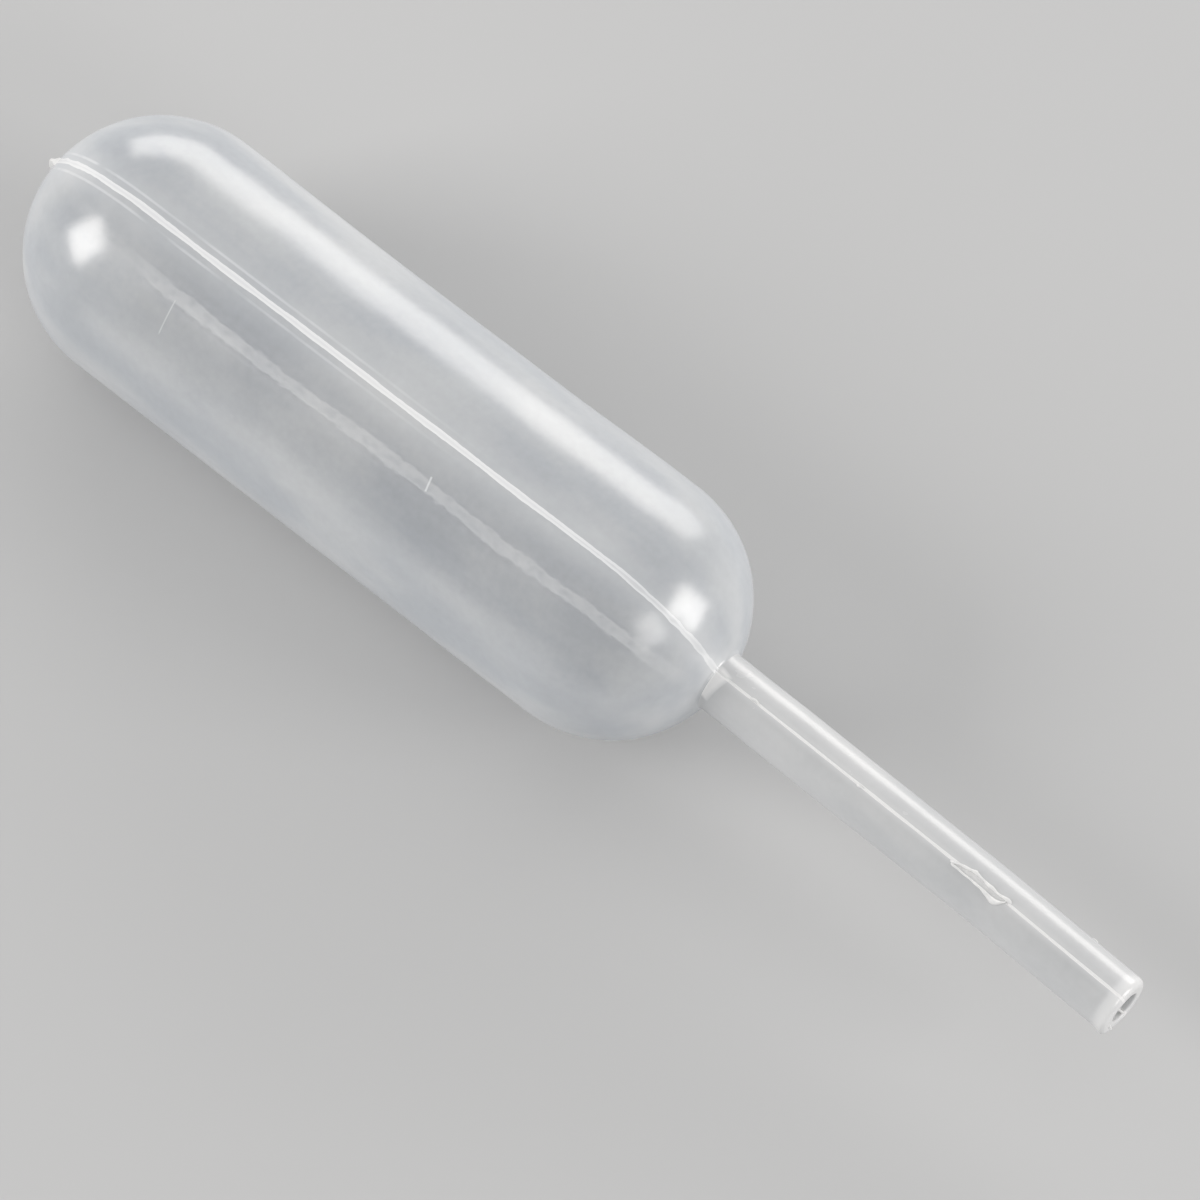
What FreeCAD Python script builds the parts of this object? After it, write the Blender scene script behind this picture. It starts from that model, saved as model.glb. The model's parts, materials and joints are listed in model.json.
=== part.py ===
"""One-piece squeeze dropper pipette, as a parametric FreeCAD document.

The moulding is a thin hollow capsule, the bulb, with a narrow open stem that is slightly bent. A
parting ridge runs round it, and stands up as a fin on the rear dome, where the blown tube was
pinched off. Lengths are millimetres.

The body is drawn in its own frame: the origin is the middle of the bulb, +X runs along the bulb's
axis towards the stem, and XZ is the mould's parting plane. Its Placement then lays it down on Z = 0
as it rests on a table, on the small flat that the soft bulb has there and on the crest of its lower
parting ridge.
"""
import FreeCAD, Part
import math
import os

import Sketcher

Vector = FreeCAD.Vector

NODE = "pipette"
SHEET = "Dimensions"

# alias, value and meaning of each size that can be set by itself
DIMENSIONS = (
    ("bulb_radius", "6.5", "outer radius of the bulb and of its two domes"),
    ("barrel_length", "27.5", "straight length of the bulb, between the centres of its domes"),
    ("bulb_wall", "0.4", "wall of the bulb"),
    ("flat_width", "1.5", "width of the flat along the underside of the soft bulb"),
    ("stem_radius", "1.5", "outer radius of the stem"),
    ("bore_radius", "0.8", "radius of the bore through the stem"),
    ("stem_reach", "24.1", "from the crown of the front dome to the tip, along the bulb's axis"),
    ("tip_run", "6.9", "straight length of the stem between its slight bend and its tip"),
    ("bend_radius", "150", "radius of the bend, along the stem's centre line"),
    ("root_lean", "1.1", "degrees that the stem leans off the bulb's axis before the bend"),
    ("tip_lean", "2.3", "degrees that the stem leans off the bulb's axis after the bend"),
    ("lean_turn", "25", "degrees about the axis from the mould's opening direction to the lean"),
    ("neck_bevel", "0.2", "bevel where the stem leaves the dome, outside"),
    ("throat_bevel", "0.5", "funnel where the bore opens into the bulb, inside"),
    ("tip_round", "0.35", "rounding of the stem's outer edge at the tip"),
    ("seam_height", "0.05", "height of the parting ridge on the bulb, up to its sharp crest"),
    ("seam_width", "0.3", "width of the parting ridge on the bulb, at its foot"),
    ("stem_seam_height", "0.05", "height of the parting ridge on the stem"),
    ("stem_seam_width", "0.12", "width of the parting ridge on the stem"),
    ("pinch_height", "0.35", "height of the pinch-off fin over the rear dome's crown"),
    ("pinch_width", "0.45", "width of the pinch-off fin across the parting plane, at its foot"),
    ("pinch_length", "3.8", "length of the pinch-off fin that stands at full height"),
    ("pinch_run_out", "1.4", "length over which each end of the fin sinks into the dome"),
)

# Places and angles worked out from the sheet. Square brackets mark an alias.
FRONT_CENTRE = "[barrel_length] / 2"
FRONT_CROWN = "[barrel_length] / 2 + [bulb_radius]"
AXIS_HEIGHT = "sqrt([bulb_radius] ^ 2 - ([flat_width] / 2) ^ 2)"
REST_TILT = f"acos({AXIS_HEIGHT} / ([bulb_radius] + [seam_height]))"

# The edges that take no more than their share of the stem's wall.
TIP_ROUND = "min([tip_round]; 0.6 * ([stem_radius] - [bore_radius]))"
THROAT_BEVEL = "min([throat_bevel]; 0.8 * ([stem_radius] - [bore_radius]))"

# how wide a ridge is made with the part of it that is sunk in the wall, in widths at its foot
RIDGE_SINK = 1.3

# how far short of the tip the ridge on the stem ends, in roundings of the tip
RIDGE_STOP = 1.2

# how far round a tube's middle its edges are looked for, in radii of the tube
SEARCH_REACH = 1.2

# the property that holds the size of each kind of worked edge
EDGE_SIZES = {"Fillet": "Radius", "Chamfer": "Size"}

# the numbers that a sketch gives to a piece's two ends and its centre, to its own origin, and to its
# own two axes, which count down from -1
START, END, CENTRE = range(1, 4)
ORIGIN = (-1, START)
X_AXIS, Y_AXIS = range(-1, -3, -1)


def named(formula):
    """The formula as an expression that reads its bracketed aliases from the sheet."""
    return formula.replace("[", f"{SHEET}.").replace("]", "")


def make_sheet(doc):
    """The spreadsheet that holds the driving dimensions."""
    sheet = doc.addObject("Spreadsheet::Sheet", SHEET)
    for row, (alias, value, meaning) in enumerate(DIMENSIONS, start=1):
        sheet.set(f"A{row}", meaning)
        sheet.set(f"B{row}", value)
        sheet.setAlias(f"B{row}", alias)
    doc.recompute()
    return sheet


# ---- sketching -------------------------------------------------------------------------------


def new_sketch(body, name, plane):
    """An empty sketch on one of the body's origin planes."""
    sketch = body.newObject("Sketcher::SketchObject", name)
    support = next(item for item in body.Origin.OriginFeatures if item.Role == plane)
    sketch.AttachmentSupport = [(support, "")]
    sketch.MapMode = "FlatFace"
    return sketch


def relate(sketch, kind, *refs):
    """A geometric constraint."""
    sketch.addConstraint(Sketcher.Constraint(kind, *refs))


def measure(sketch, kind, refs, value, formula):
    """A dimension that follows the sheet. The value only gives the solver its start."""
    index = sketch.addConstraint(Sketcher.Constraint(kind, *refs, value))
    sketch.setExpression(f"Constraints[{index}]", named(formula))


def add_line(sketch, start, end):
    """A straight line between two points given as (x, y)."""
    return sketch.addGeometry(Part.LineSegment(Vector(*start), Vector(*end)))


def add_arc(sketch, centre, radius, start_degrees, end_degrees):
    """An arc, anticlockwise from one angle to the other."""
    circle = Part.Circle(Vector(*centre), Vector(0, 0, 1), radius)
    arc = Part.ArcOfCircle(circle, math.radians(start_degrees), math.radians(end_degrees))
    return sketch.addGeometry(arc)


def add_disc(sketch, radius, formula):
    """A circle round the sketch's origin."""
    circle = sketch.addGeometry(Part.Circle(Vector(), Vector(0, 0, 1), radius))
    relate(sketch, "Coincident", circle, CENTRE, *ORIGIN)
    measure(sketch, "Radius", (circle,), radius, formula)


def add_rectangle(sketch, width, height, depth):
    """A rectangle astride the sketch's Y axis, whose lower side is at a depth under the origin.

    Each argument is a pair, the size and its formula.
    """
    right, bottom = width[0] / 2, -depth[0]
    top = bottom + height[0]
    corners = [(-right, bottom), (right, bottom), (right, top), (-right, top)]
    below, beside, above, back = [
        add_line(sketch, corners[i], corners[(i + 1) % 4]) for i in range(4)
    ]
    relate(sketch, "Coincident", below, END, beside, START)
    relate(sketch, "Coincident", beside, END, above, START)
    relate(sketch, "Coincident", above, END, back, START)
    relate(sketch, "Coincident", back, END, below, START)
    relate(sketch, "Symmetric", below, START, below, END, Y_AXIS)
    relate(sketch, "Vertical", beside)
    relate(sketch, "Horizontal", above)
    relate(sketch, "Vertical", back)
    measure(sketch, "DistanceX", (below, START, below, END), *width)
    measure(sketch, "DistanceY", (beside, START, beside, END), *height)
    measure(sketch, "DistanceY", (below, START, *ORIGIN), *depth)


def half_capsule(body, name, sheet, radius, formula):
    """Half the outline of a capsule round the bulb's axis, closed along the axis."""
    sketch = new_sketch(body, name, "XZ_Plane")
    middle = sheet.barrel_length / 2
    crown = middle + radius
    rear = add_arc(sketch, (-middle, 0), radius, 90, 180)
    side = add_line(sketch, (-middle, radius), (middle, radius))
    front = add_arc(sketch, (middle, 0), radius, 0, 90)
    axis = add_line(sketch, (-crown, 0), (crown, 0))
    relate(sketch, "Tangent", rear, START, side, START)
    relate(sketch, "Tangent", side, END, front, END)
    relate(sketch, "Coincident", rear, END, axis, START)
    relate(sketch, "Coincident", front, START, axis, END)
    for place in ((rear, CENTRE), (front, CENTRE), (axis, START), (axis, END)):
        relate(sketch, "PointOnObject", *place, X_AXIS)
    relate(sketch, "Equal", rear, front)
    measure(sketch, "Radius", (rear,), radius, formula)
    measure(sketch, "DistanceX", (*ORIGIN, front, CENTRE), middle, FRONT_CENTRE)
    measure(sketch, "DistanceX", (rear, CENTRE, *ORIGIN), middle, FRONT_CENTRE)
    return sketch


def whole_capsule(body, name, sheet, radius, formula):
    """The whole outline of a capsule, in the parting plane."""
    sketch = new_sketch(body, name, "XZ_Plane")
    middle = sheet.barrel_length / 2
    rear = add_arc(sketch, (-middle, 0), radius, 90, 270)
    below = add_line(sketch, (-middle, -radius), (middle, -radius))
    front = add_arc(sketch, (middle, 0), radius, -90, 90)
    above = add_line(sketch, (middle, radius), (-middle, radius))
    relate(sketch, "Tangent", rear, END, below, START)
    relate(sketch, "Tangent", below, END, front, START)
    relate(sketch, "Tangent", front, END, above, START)
    relate(sketch, "Tangent", above, END, rear, START)
    relate(sketch, "PointOnObject", rear, CENTRE, X_AXIS)
    relate(sketch, "PointOnObject", front, CENTRE, X_AXIS)
    relate(sketch, "Equal", rear, front)
    measure(sketch, "Radius", (rear,), radius, formula)
    measure(sketch, "DistanceX", (*ORIGIN, front, CENTRE), middle, FRONT_CENTRE)
    measure(sketch, "DistanceX", (rear, CENTRE, *ORIGIN), middle, FRONT_CENTRE)
    return sketch


def stem_points(sheet, overrun):
    """The stem's centre line in the plane that it bends in: the front dome's crown, the bend's
    start, centre and end, and the end of the stem, or of a line that overruns it."""
    root_lean, tip_lean = math.radians(sheet.root_lean), math.radians(sheet.tip_lean)
    along_tip = Vector(math.cos(tip_lean), -math.sin(tip_lean))
    to_root = Vector(math.sin(root_lean), math.cos(root_lean)) * sheet.bend_radius
    to_tip = Vector(math.sin(tip_lean), math.cos(tip_lean)) * sheet.bend_radius
    crown = Vector(sheet.barrel_length / 2 + sheet.bulb_radius, 0)
    root_reach = sheet.stem_reach - sheet.tip_run * along_tip.x - (to_tip.x - to_root.x)
    bend_start = crown + Vector(root_reach, -root_reach * math.tan(root_lean))
    centre = bend_start - to_root
    bend_end = centre + to_tip
    return crown, bend_start, centre, bend_end, bend_end + along_tip * (sheet.tip_run + overrun)


def stem_line(body, name, sheet, overrun, overrun_formula):
    """The stem's centre line: straight from within the dome, slightly bent, and straight again."""
    sketch = new_sketch(body, name, "XY_Plane")
    sketch.AttachmentOffset = FreeCAD.Placement(Vector(), FreeCAD.Rotation(Vector(1, 0, 0), 1))
    sketch.setExpression("AttachmentOffset.Rotation.Angle", named("[lean_turn] * 1 deg"))
    crown, bend_start, centre, bend_end, end = stem_points(sheet, overrun)
    depth = sheet.bulb_radius / 2
    start = crown - (bend_start - crown).normalize() * depth
    leans = (90 - sheet.tip_lean, 90 - sheet.root_lean)
    root = add_line(sketch, start, bend_start)
    bend = add_arc(sketch, centre, sheet.bend_radius, *leans)
    tip = add_line(sketch, bend_end, end)
    pivot = sketch.addGeometry(Part.Point(crown), True)
    relate(sketch, "Tangent", root, END, bend, END)
    relate(sketch, "Tangent", bend, START, tip, START)
    relate(sketch, "PointOnObject", pivot, START, X_AXIS)
    relate(sketch, "PointOnObject", pivot, START, root)
    measure(sketch, "DistanceX", (*ORIGIN, pivot, START), crown.x, FRONT_CROWN)
    measure(sketch, "DistanceX", (root, START, pivot, START), crown.x - start.x, "[bulb_radius] / 2")
    measure(sketch, "Angle", (root,), -math.radians(sheet.root_lean), "-[root_lean] * 1 deg")
    measure(sketch, "Angle", (tip,), -math.radians(sheet.tip_lean), "-[tip_lean] * 1 deg")
    measure(sketch, "Radius", (bend,), sheet.bend_radius, "[bend_radius]")
    measure(sketch, "Distance", (tip,), end.distanceToPoint(bend_end), f"[tip_run] + {overrun_formula}")
    reach_formula = f"[stem_reach] + ({overrun_formula}) * cos([tip_lean] * 1 deg)"
    measure(sketch, "DistanceX", (pivot, START, tip, END), end.x - crown.x, reach_formula)
    return sketch


def stem_section(body, name, line):
    """An empty sketch square to the start of the stem's centre line, its Y in the parting plane."""
    sketch = body.newObject("Sketcher::SketchObject", name)
    sketch.AttachmentSupport = [(line, "Edge1")]
    sketch.MapMode = "NormalToEdge"
    return sketch


# ---- features --------------------------------------------------------------------------------


def turn(body, kind, name, profile):
    """A Revolution or a Groove of a half outline, once round the bulb's axis."""
    feature = body.newObject(f"PartDesign::{kind}", name)
    feature.Profile = profile
    feature.ReferenceAxis = (profile, ["H_Axis"])
    feature.Angle = 360
    return feature


def ridge(body, name, profile, width_formula, height_formula):
    """A Pad on both sides of the parting plane, whose outline falls away to a roof's slope.

    The slopes run on into the wall, so that the ridge's foot is where they meet it.
    """
    feature = body.newObject("PartDesign::Pad", name)
    feature.Profile = profile
    feature.SideType = "Symmetric"
    feature.setExpression("Length", named(f"{RIDGE_SINK} * {width_formula}"))
    slope = f"-atan2({height_formula}; {width_formula} / 2)"
    feature.setExpression("TaperAngle", named(slope))
    feature.setExpression("TaperAngle2", named(slope))
    return feature


def sweep(body, kind, name, section, line):
    """An AdditivePipe or a SubtractivePipe of a section along the stem's centre line."""
    feature = body.newObject(f"PartDesign::{kind}", name)
    feature.Profile = section
    feature.Spine = (line, ["Edge1", "Edge2", "Edge3"])
    return feature


def edges_near(shape, place, reach):
    """The names of the edges that lie round a place on the stem, across it and close to it."""
    names = []
    for number, edge in enumerate(shape.Edges, start=1):
        box = edge.BoundBox
        box.move(-place)
        along = max(abs(box.XMin), abs(box.XMax))
        across = max(abs(box.YMin), abs(box.YMax), abs(box.ZMin), abs(box.ZMax))
        if along < reach / 2 and across < reach:
            names.append(f"Edge{number}")
    return names


def work_edges(doc, body, kind, name, place, tube_radius, formula):
    """A Fillet or a Chamfer on the edges round a place where a tube of that radius begins or ends."""
    doc.recompute()
    base = body.Tip
    feature = body.newObject(f"PartDesign::{kind}", name)
    feature.Base = (base, edges_near(base.Shape, place, SEARCH_REACH * tube_radius))
    feature.setExpression(EDGE_SIZES[kind], named(formula))


# ---- the moulding ----------------------------------------------------------------------------


def neck_place(sheet, dome_radius, tube_radius):
    """Where a tube round the bulb's axis leaves the front dome of that radius."""
    depth = math.sqrt(dome_radius**2 - tube_radius**2)
    return Vector(sheet.barrel_length / 2 + depth, 0, 0)


def tip_place(sheet):
    """The middle of the stem's end face."""
    tip = stem_points(sheet, 0)[-1]
    lean_plane = FreeCAD.Rotation(Vector(1, 0, 0), sheet.lean_turn)
    return lean_plane.multVec(tip)


def make_bulb(body, sheet):
    """The capsule, solid as yet."""
    outline = half_capsule(body, "BulbOutline", sheet, sheet.bulb_radius, "[bulb_radius]")
    turn(body, "Revolution", "Bulb", outline)


def make_flat(body, sheet):
    """The flat along the bulb's underside, square to the direction that is down when it rests."""
    sketch = new_sketch(body, "FlatOutline", "YZ_Plane")
    sketch.AttachmentOffset = FreeCAD.Placement(Vector(), FreeCAD.Rotation(Vector(0, 0, -1), 1))
    sketch.setExpression("AttachmentOffset.Rotation.Angle", named(REST_TILT))
    radius = sheet.bulb_radius
    axis_height = math.sqrt(radius**2 - (sheet.flat_width / 2) ** 2)
    width = (2 * radius, "2 * [bulb_radius]")
    height = (radius, "[bulb_radius]")
    depth = (axis_height + radius, f"{AXIS_HEIGHT} + [bulb_radius]")
    add_rectangle(sketch, width, height, depth)
    feature = body.newObject("PartDesign::Pocket", "Flat")
    feature.Profile = sketch
    feature.SideType = "Symmetric"
    feature.setExpression("Length", named("2 * ([barrel_length] + 2 * [bulb_radius])"))


def make_stem(doc, body, sheet):
    """The stem, solid as yet, with its bevelled neck and its rounded tip."""
    line = stem_line(body, "StemLine", sheet, 0, "0")
    section = stem_section(body, "StemSection", line)
    add_disc(section, sheet.stem_radius, "[stem_radius]")
    sweep(body, "AdditivePipe", "Stem", section, line)
    neck = neck_place(sheet, sheet.bulb_radius, sheet.stem_radius)
    work_edges(doc, body, "Chamfer", "Neck", neck, sheet.stem_radius, "[neck_bevel]")
    work_edges(doc, body, "Fillet", "Tip", tip_place(sheet), sheet.stem_radius, TIP_ROUND)


def make_parting_line(body, sheet):
    """The ridge that the mould's joint left round the bulb and along both sides of the stem."""
    crest = sheet.bulb_radius + sheet.seam_height
    outline = whole_capsule(body, "BulbSeamOutline", sheet, crest, "[bulb_radius] + [seam_height]")
    ridge(body, "BulbSeam", outline, "[seam_width]", "[seam_height]")

    stop = RIDGE_STOP * sheet.tip_round
    line = stem_line(body, "StemSeamLine", sheet, -stop, f"-{RIDGE_STOP} * [tip_round]")
    section = stem_section(body, "StemSeamSection", line)
    crest = sheet.stem_radius + sheet.stem_seam_height
    width = (sheet.stem_seam_width, "[stem_seam_width]")
    height = (2 * crest, "2 * ([stem_radius] + [stem_seam_height])")
    depth = (crest, "[stem_radius] + [stem_seam_height]")
    add_rectangle(section, width, height, depth)
    sweep(body, "AdditivePipe", "StemSeam", section, line)


def make_pinch_off(body, sheet):
    """The fin on the rear dome, along the parting line, where the tube was pinched shut."""
    sketch = new_sketch(body, "PinchOffOutline", "XZ_Plane")
    middle = sheet.barrel_length / 2
    crest = sheet.bulb_radius + sheet.pinch_height
    half = sheet.pinch_length / 2
    foot = half + sheet.pinch_run_out
    foot_radius = sheet.bulb_radius - sheet.bulb_wall / 2
    swing = math.degrees(math.asin(half / crest))
    arc = add_arc(sketch, (-middle, 0), crest, 180 - swing, 180 + swing)
    arc_end_x = -middle - math.sqrt(crest**2 - half**2)
    foot_x = -middle - math.sqrt(foot_radius**2 - foot**2)
    below = add_line(sketch, (arc_end_x, -half), (foot_x, -foot))
    across = add_line(sketch, (foot_x, -foot), (foot_x, foot))
    above = add_line(sketch, (foot_x, foot), (arc_end_x, half))
    relate(sketch, "Coincident", arc, END, below, START)
    relate(sketch, "Coincident", below, END, across, START)
    relate(sketch, "Coincident", across, END, above, START)
    relate(sketch, "Coincident", above, END, arc, START)
    relate(sketch, "PointOnObject", arc, CENTRE, X_AXIS)
    relate(sketch, "Symmetric", arc, START, arc, END, X_AXIS)
    relate(sketch, "Symmetric", across, START, across, END, X_AXIS)
    measure(sketch, "DistanceX", (arc, CENTRE, *ORIGIN), middle, FRONT_CENTRE)
    measure(sketch, "Radius", (arc,), crest, "[bulb_radius] + [pinch_height]")
    measure(sketch, "DistanceY", (arc, END, arc, START), 2 * half, "[pinch_length]")
    foot_formula = "[pinch_length] + 2 * [pinch_run_out]"
    measure(sketch, "DistanceY", (across, START, across, END), 2 * foot, foot_formula)
    foot_radius_formula = "([bulb_radius] - [bulb_wall] / 2)"
    depth_formula = f"sqrt({foot_radius_formula} ^ 2 - ([pinch_length] / 2 + [pinch_run_out]) ^ 2)"
    depth = (across, START, arc, CENTRE)
    measure(sketch, "DistanceX", depth, -middle - foot_x, depth_formula)
    ridge(body, "PinchOff", sketch, "[pinch_width]", "[pinch_height]")


def hollow_out(doc, body, sheet):
    """The bulb's cavity, the stem's bore, and the funnel between them."""
    inner_radius = sheet.bulb_radius - sheet.bulb_wall
    outline = half_capsule(body, "CavityOutline", sheet, inner_radius, "[bulb_radius] - [bulb_wall]")
    turn(body, "Groove", "Cavity", outline)

    line = stem_line(body, "BoreLine", sheet, sheet.stem_radius, "[stem_radius]")
    section = stem_section(body, "BoreSection", line)
    add_disc(section, sheet.bore_radius, "[bore_radius]")
    sweep(body, "SubtractivePipe", "Bore", section, line)
    throat = neck_place(sheet, inner_radius, sheet.bore_radius)
    work_edges(doc, body, "Chamfer", "Throat", throat, sheet.bore_radius, THROAT_BEVEL)


def lay_down(body):
    """Rest the body on Z = 0, with the origin under the middle of its length."""
    body.Placement = FreeCAD.Placement(Vector(), FreeCAD.Rotation(Vector(1, 0, 0), 1))
    body.setExpression("Placement.Rotation.Angle", named(REST_TILT))
    body.setExpression("Placement.Base.x", named("([pinch_height] - [stem_reach]) / 2"))
    body.setExpression("Placement.Base.z", named(AXIS_HEIGHT))


def make_pipette(doc, sheet):
    """The whole moulding, as one body."""
    body = doc.addObject("PartDesign::Body", "Pipette")
    body.Label = NODE
    make_bulb(body, sheet)
    make_flat(body, sheet)
    make_stem(doc, body, sheet)
    make_parting_line(body, sheet)
    make_pinch_off(body, sheet)
    hollow_out(doc, body, sheet)
    lay_down(body)
    return body


def check(doc, body):
    """Stop if any object failed, or if the body isn't one sound solid."""
    failed = [item.Label for item in doc.Objects if {"Invalid", "Error"} & set(item.State)]
    if failed:
        raise RuntimeError(f"these objects failed: {', '.join(failed)}")
    shape = body.Shape
    if shape.isNull() or not shape.isValid() or len(shape.Solids) != 1:
        raise RuntimeError(f"{body.Label} isn't one valid solid")


def main():
    """Build the document, check it and write the part."""
    doc = FreeCAD.newDocument("Pipette")
    sheet = make_sheet(doc)
    body = make_pipette(doc, sheet)
    doc.recompute()
    check(doc, body)
    os.makedirs("parts", exist_ok=True)
    body.Shape.exportStep(f"parts/{body.Label}.step")
    print(f"{body.Label}: {body.Shape.Volume:.1f} mm3, {body.Shape.BoundBox}")


main()
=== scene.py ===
"""The looks of the squeeze dropper pipette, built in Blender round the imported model.

The moulding is remade as one fine double-walled shell of milky polyethylene: its outline is drawn with
a pencil of extrusions and spins, turned round the bulb's axis, and given the parting ridge, the slightly
bent stem and the small flat that it rests on. The pinch-off fin and the bits of flash that the mould left
on the stem and in its mouth are pieces of their own. Lengths are metres.

Every piece is drawn in the straight frame: the origin is the middle of the bulb, +X runs along the bulb's
axis and through a stem that is straight as yet, and XZ is the mould's parting plane, with the upper seam
at +Z. Form.settle then leans the stem, turns the piece to how it rests and moves it to its place.
"""
from __future__ import annotations

import json
import logging
import math
from dataclasses import dataclass, field, replace
from enum import Enum
from typing import Callable, Iterable

import bpy
from mathutils import Matrix, Vector

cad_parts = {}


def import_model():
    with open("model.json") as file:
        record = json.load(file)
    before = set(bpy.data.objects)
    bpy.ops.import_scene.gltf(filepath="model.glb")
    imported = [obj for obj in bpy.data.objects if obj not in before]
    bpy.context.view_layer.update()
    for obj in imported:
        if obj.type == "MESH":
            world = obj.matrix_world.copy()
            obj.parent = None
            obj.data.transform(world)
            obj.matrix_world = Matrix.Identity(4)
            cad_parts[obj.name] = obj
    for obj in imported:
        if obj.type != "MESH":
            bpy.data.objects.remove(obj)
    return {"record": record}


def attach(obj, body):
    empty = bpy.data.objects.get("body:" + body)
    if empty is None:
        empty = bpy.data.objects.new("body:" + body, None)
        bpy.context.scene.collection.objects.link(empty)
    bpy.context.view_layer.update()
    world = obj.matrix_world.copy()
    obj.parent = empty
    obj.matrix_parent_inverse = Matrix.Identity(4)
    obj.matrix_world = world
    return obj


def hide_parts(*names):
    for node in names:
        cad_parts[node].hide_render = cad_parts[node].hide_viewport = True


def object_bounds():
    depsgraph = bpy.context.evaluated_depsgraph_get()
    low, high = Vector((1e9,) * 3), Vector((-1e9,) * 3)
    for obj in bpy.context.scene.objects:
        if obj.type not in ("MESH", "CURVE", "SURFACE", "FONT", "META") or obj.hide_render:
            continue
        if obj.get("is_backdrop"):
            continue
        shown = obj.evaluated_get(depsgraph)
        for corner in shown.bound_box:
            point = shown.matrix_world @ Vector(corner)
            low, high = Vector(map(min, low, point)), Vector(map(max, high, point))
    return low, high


MM = 0.001
NODE = "pipette"
WELD = 1e-8
MOULDED_PLACE = "moulded_place"
FLAKE_FILM = "torn_flake_film"
AIM = Vector((-0.45 * MM, 1.99 * MM, 0))

log = logging.getLogger("pipette")

Colour = tuple[float, float, float]


# ---- working on a mesh -----------------------------------------------------------------------------


class Mode(Enum):
    """The two ways in which a piece is worked on."""

    OBJECT = "OBJECT"
    EDIT = "EDIT"


def clear_selection() -> None:
    """Deselect every object, so that an operator touches only what comes next."""
    bpy.ops.object.select_all(action="DESELECT")


def switch(mode: Mode) -> None:
    """Go to object mode or to edit mode."""
    bpy.ops.object.mode_set(mode=mode.value)


def take(piece: bpy.types.Object) -> None:
    """Make a piece the only selected object and the active one.

    Args:
        piece: The piece to work on.
    """
    clear_selection()
    piece.select_set(True)
    bpy.context.view_layer.objects.active = piece


def select_points(piece: bpy.types.Object, wanted: Callable[[Vector], bool]) -> None:
    """Select the vertices of the piece being edited whose place is wanted.

    Args:
        piece: The piece that is in edit mode.
        wanted: Tells of a place whether the vertex there is selected.
    """
    bpy.ops.mesh.select_all(action="DESELECT")
    switch(Mode.OBJECT)
    for vertex in piece.data.vertices:
        vertex.select = wanted(vertex.co)
    switch(Mode.EDIT)


def rotate_points(degrees: float, axis: str, pivot: Vector) -> None:
    """Rotate the selected vertices, anticlockwise about an axis that points at the viewer.

    Args:
        degrees: How far they turn.
        axis: X, Y or Z.
        pivot: A point on the axis.
    """
    bpy.ops.transform.rotate(value=-math.radians(degrees), orient_axis=axis, center_override=pivot)


def modify(piece: bpy.types.Object, kind: str, settings: dict[str, object]) -> None:
    """Add a modifier to a piece and apply it.

    Args:
        piece: The piece, in object mode.
        kind: The modifier's type.
        settings: Its settings.
    """
    take(piece)
    modifier = piece.modifiers.new(kind.lower(), kind)
    for key, value in settings.items():
        setattr(modifier, key, value)
    bpy.ops.object.modifier_apply(modifier=modifier.name)


class Pencil:
    """Draws an outline in the XZ plane by extruding and spinning its last vertex."""

    def __init__(self, name: str, start: Vector) -> None:
        """Begin an outline.

        Args:
            name: The name of the piece that the outline becomes.
            start: The first point.
        """
        clear_selection()
        bpy.ops.mesh.primitive_plane_add(size=MM, location=start)
        bpy.ops.object.transform_apply(location=True, rotation=True, scale=True)
        self.piece = bpy.context.object
        self.piece.name = name
        self.last = start.copy()
        switch(Mode.EDIT)
        bpy.context.tool_settings.mesh_select_mode = (True, False, False)
        bpy.ops.mesh.select_all(action="SELECT")
        bpy.ops.mesh.merge(type="CENTER")

    def lift_to(self, start: Vector) -> None:
        """Begin another outline of the same piece.

        Args:
            start: Its first point.
        """
        bpy.ops.mesh.select_all(action="DESELECT")
        bpy.ops.mesh.primitive_plane_add(size=MM, location=start)
        bpy.ops.mesh.merge(type="CENTER")
        self.last = start.copy()

    def line(self, end: Vector, pieces: int) -> None:
        """Draw a straight run, in pieces of one length.

        Args:
            end: Where it ends.
            pieces: How many pieces it has.
        """
        step = (end - self.last) / pieces
        for _ in range(pieces):
            bpy.ops.mesh.extrude_region_move(TRANSFORM_OT_translate={"value": step})
        self.last = end.copy()

    def arc(self, centre: Vector, degrees: float, pieces: int) -> None:
        """Draw a round stretch.

        Args:
            centre: The arc's centre.
            degrees: The angle it sweeps, from +X towards +Z where it is above zero.
            pieces: How many straight pieces stand for it.
        """
        angle = math.radians(degrees)
        bpy.ops.mesh.spin(steps=pieces, angle=angle, center=centre, axis=(0, 1, 0))
        self.last = centre + Matrix.Rotation(-angle, 3, "Y") @ (self.last - centre)

    def turn(self, sectors: Iterable[tuple[float, int]]) -> None:
        """Turn the outline round the X axis, sector after sector, into a closed skin.

        Args:
            sectors: The angle of each sector in degrees and the number of its steps.
        """
        bpy.ops.mesh.select_all(action="SELECT")
        for degrees, steps in sectors:
            bpy.ops.mesh.spin(steps=steps, angle=math.radians(degrees), center=(0, 0, 0), axis=(-1, 0, 0))
        bpy.ops.mesh.select_all(action="SELECT")
        bpy.ops.mesh.remove_doubles(threshold=WELD)


# ---- shaders ---------------------------------------------------------------------------------------


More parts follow.
